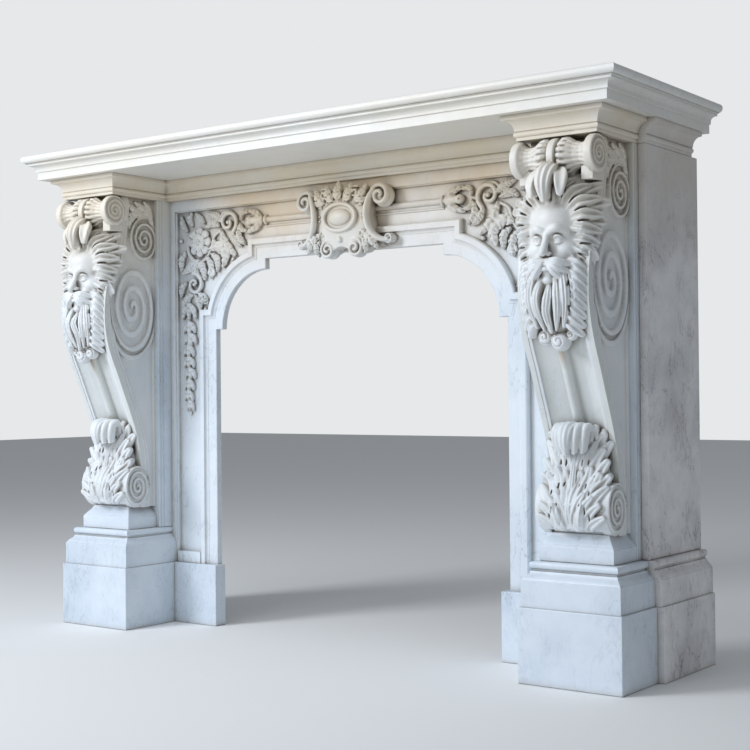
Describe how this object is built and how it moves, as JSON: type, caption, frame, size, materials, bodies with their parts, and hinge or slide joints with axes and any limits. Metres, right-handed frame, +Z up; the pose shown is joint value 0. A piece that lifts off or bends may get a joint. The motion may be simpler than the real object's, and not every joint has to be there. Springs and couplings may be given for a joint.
{
  "type": "fireplace mantel",
  "caption": "Carved marble fireplace mantel: moulded shelf on console brackets with bearded masks, a shaped frieze with cartouche and scrolled leaves, on moulded bases.",
  "frame": {"origin": "on the floor, under the middle of the bounding box", "axes": "+Z up, +Y to the wall, +X to the right of someone facing the mantel"},
  "size_m": [1.852, 0.557, 1.32],
  "materials": {
    "warm_marble": "honed, aged to a warm cream, fine grey veins",
    "cool_marble": "honed, cool white with grey clouds and veins",
    "veined_marble": "honed, grey-white with soft diagonal veins",
    "carved_marble": "carved and rubbed, dirt left in the recesses"
  },
  "bodies": {
    "root": {"shelf": "warm_marble", "capital_left": "warm_marble", "capital_right": "warm_marble", "cornice_centre": "warm_marble", "side_cornice_left": "warm_marble", "side_cornice_right": "warm_marble", "frieze": "warm_marble", "jamb_left": "cool_marble", "jamb_right": "cool_marble", "inner_plinth_left": "cool_marble", "inner_plinth_right": "cool_marble", "console_left": "carved_marble", "console_right": "carved_marble", "base_left": "cool_marble", "base_right": "cool_marble", "plinth_left": "cool_marble", "plinth_right": "cool_marble", "side_slab_left": "veined_marble", "side_slab_right": "veined_marble", "side_base_left": "cool_marble", "side_base_right": "cool_marble", "side_plinth_left": "veined_marble", "side_plinth_right": "veined_marble"}
  },
  "joints": []
}
